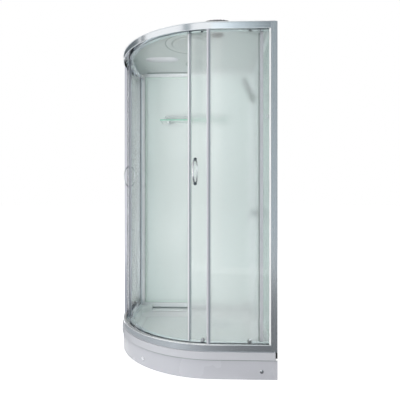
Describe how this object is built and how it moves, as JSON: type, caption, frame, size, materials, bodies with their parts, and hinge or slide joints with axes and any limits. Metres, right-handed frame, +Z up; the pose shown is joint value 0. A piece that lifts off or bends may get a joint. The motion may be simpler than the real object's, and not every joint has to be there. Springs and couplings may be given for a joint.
{
  "type": "shower cabin",
  "caption": "Quadrant shower cabin with satin glass, curved doors on rollers, low tray, framed back walls, roof and shower fittings.",
  "frame": {"origin": "middle of the overall box's base, on the floor under the cabin", "axes": "+Z up; the room's corner is towards +X and +Y, and the curved front faces -X and -Y"},
  "size_m": [1, 1, 2.096],
  "materials": {
    "white_acrylic": "gloss",
    "painted_steel": "satin",
    "black_rubber": "matte",
    "zinc_steel": "satin",
    "chrome": "polished",
    "grey_plastic": "matte",
    "satin_aluminium": "satin",
    "satin_glass": "satin",
    "clear_seal": "satin",
    "wall_glass": "gloss",
    "dark_plastic": "matte",
    "clear_glass": "polished",
    "wheel_plastic": "matte"
  },
  "bodies": {
    "cabin": {"tray": "white_acrylic", "tray_frame": "painted_steel", "foot_pads": "black_rubber", "foot_studs": "zinc_steel", "skirt": "white_acrylic", "skirt_brackets": "zinc_steel", "skirt_caps": "chrome", "corner_blocks": "black_rubber", "waste_trap": "grey_plastic", "waste_flange": "chrome", "bottom_rail": "satin_aluminium", "top_rail": "satin_aluminium", "wall_profile_right": "satin_aluminium", "wall_profile_left": "satin_aluminium", "fixed_pane_right": "satin_glass", "fixed_pane_left": "satin_glass", "pane_seals": "clear_seal", "post_right": "satin_aluminium", "post_left": "satin_aluminium", "back_wall_panel": "wall_glass", "side_wall_panel": "wall_glass", "back_wall_frame": "satin_aluminium", "side_wall_frame": "satin_aluminium", "corner_post": "satin_aluminium", "roof": "white_acrylic", "overhead_shower": "white_acrylic", "roof_cap": "dark_plastic", "shelf_glass": "clear_glass", "shelf_brackets": "chrome", "shelf_rail": "chrome", "holder_mount": "chrome", "mixer_body": "chrome", "robe_hook": "chrome"},
    "right_door": {"right_door_glass": "satin_glass", "right_door_lead_profile": "satin_aluminium", "right_door_trail_profile": "satin_aluminium", "right_door_magnet_seal": "clear_seal", "right_door_handle": "chrome", "right_door_carriers": "chrome"},
    "right_wheel_top_front": {"right_wheel_top_front": "wheel_plastic"},
    "right_wheel_bottom_front": {"right_wheel_bottom_front": "wheel_plastic"},
    "right_wheel_top_rear": {"right_wheel_top_rear": "wheel_plastic"},
    "right_wheel_bottom_rear": {"right_wheel_bottom_rear": "wheel_plastic"},
    "left_door": {"left_door_glass": "satin_glass", "left_door_lead_profile": "satin_aluminium", "left_door_trail_profile": "satin_aluminium", "left_door_magnet_seal": "clear_seal", "left_door_handle": "chrome", "left_door_carriers": "chrome"},
    "left_wheel_top_front": {"left_wheel_top_front": "wheel_plastic"},
    "left_wheel_bottom_front": {"left_wheel_bottom_front": "wheel_plastic"},
    "left_wheel_top_rear": {"left_wheel_top_rear": "wheel_plastic"},
    "left_wheel_bottom_rear": {"left_wheel_bottom_rear": "wheel_plastic"},
    "handset_holder": {"handset_holder": "chrome"},
    "hand_shower": {"hand_shower": "chrome"},
    "mixer_stem": {"mixer_stem": "chrome"},
    "mixer_lever": {"mixer_lever": "chrome"},
    "diverter_knob": {"diverter_knob": "chrome"},
    "waste_cover": {"waste_cover": "chrome"}
  },
  "joints": [
    {"name": "right_door_travel", "type": "hinge", "parent": "cabin", "child": "right_door", "pos_m": [0.1962, 0.3163, 1.08], "axis": [0, 0, -1], "range_deg": [0, 23.59]},
    {"name": "right_wheel_top_front_spin", "type": "hinge", "parent": "right_door", "child": "right_wheel_top_front", "pos_m": [0.08446, -0.43487, 1.9878], "axis": [-0.2247, -0.9744, 0], "range_deg": [0, 1827]},
    {"name": "right_wheel_bottom_front_spin", "type": "hinge", "parent": "right_door", "child": "right_wheel_bottom_front", "pos_m": [0.08446, -0.43487, 0.2023], "axis": [-0.2247, -0.9744, 0], "range_deg": [0, 1827]},
    {"name": "right_wheel_top_rear_spin", "type": "hinge", "parent": "right_door", "child": "right_wheel_top_rear", "pos_m": [0.34613, -0.43485, 1.9878], "axis": [0.2249, -0.9744, 0], "range_deg": [0, 1843]},
    {"name": "right_wheel_bottom_rear_spin", "type": "hinge", "parent": "right_door", "child": "right_wheel_bottom_rear", "pos_m": [0.34613, -0.43485, 0.2023], "axis": [0.2249, -0.9744, 0], "range_deg": [0, 1843]},
    {"name": "left_door_travel", "type": "hinge", "parent": "cabin", "child": "left_door", "pos_m": [0.3163, 0.1962, 1.08], "axis": [0, 0, 1], "range_deg": [0, 23.59]},
    {"name": "left_wheel_top_front_spin", "type": "hinge", "parent": "left_door", "child": "left_wheel_top_front", "pos_m": [-0.43487, 0.08446, 1.9878], "axis": [-0.9744, -0.2247, 0], "range_deg": [-1827, 0]},
    {"name": "left_wheel_bottom_front_spin", "type": "hinge", "parent": "left_door", "child": "left_wheel_bottom_front", "pos_m": [-0.43487, 0.08446, 0.2023], "axis": [-0.9744, -0.2247, 0], "range_deg": [-1827, 0]},
    {"name": "left_wheel_top_rear_spin", "type": "hinge", "parent": "left_door", "child": "left_wheel_top_rear", "pos_m": [-0.43485, 0.34613, 1.9878], "axis": [-0.9744, 0.2249, 0], "range_deg": [-1843, 0]},
    {"name": "left_wheel_bottom_rear_spin", "type": "hinge", "parent": "left_door", "child": "left_wheel_bottom_rear", "pos_m": [-0.43485, 0.34613, 0.2023], "axis": [-0.9744, 0.2249, 0], "range_deg": [-1843, 0]},
    {"name": "holder_tilt", "type": "hinge", "parent": "cabin", "child": "handset_holder", "pos_m": [0.442, 0.06, 1.73], "axis": [0, 1, 0], "range_deg": [-25, 15]},
    {"name": "hand_shower_lift", "type": "slide", "parent": "handset_holder", "child": "hand_shower", "axis": [-0.342, 0, 0.9397], "range_m": [0, 0.08]},
    {"name": "mixer_swivel", "type": "hinge", "parent": "cabin", "child": "mixer_stem", "pos_m": [0.425, 0.06, 0.915], "axis": [1, 0, 0], "range_deg": [-50, 50]},
    {"name": "mixer_lift", "type": "hinge", "parent": "mixer_stem", "child": "mixer_lever", "pos_m": [0.4187, 0.06, 0.915], "axis": [0, 1, 0], "range_deg": [0, 25]},
    {"name": "diverter_turn", "type": "hinge", "parent": "cabin", "child": "diverter_knob", "pos_m": [0.459, 0.06, 0.847], "axis": [1, 0, 0], "range_deg": [0, 90]},
    {"name": "waste_cover_lift", "type": "slide", "parent": "cabin", "child": "waste_cover", "axis": [0, 0, 1], "range_m": [0, 0.06]}
  ],
  "couplings": [
    {"joint": "right_wheel_top_front_spin", "follows": "right_door_travel", "ratio": 75.944},
    {"joint": "right_wheel_bottom_front_spin", "follows": "right_door_travel", "ratio": 75.944},
    {"joint": "right_wheel_top_rear_spin", "follows": "right_door_travel", "ratio": 76.597},
    {"joint": "right_wheel_bottom_rear_spin", "follows": "right_door_travel", "ratio": 76.597},
    {"joint": "left_wheel_top_front_spin", "follows": "left_door_travel", "ratio": -75.944},
    {"joint": "left_wheel_bottom_front_spin", "follows": "left_door_travel", "ratio": -75.944},
    {"joint": "left_wheel_top_rear_spin", "follows": "left_door_travel", "ratio": -76.597},
    {"joint": "left_wheel_bottom_rear_spin", "follows": "left_door_travel", "ratio": -76.597}
  ]
}
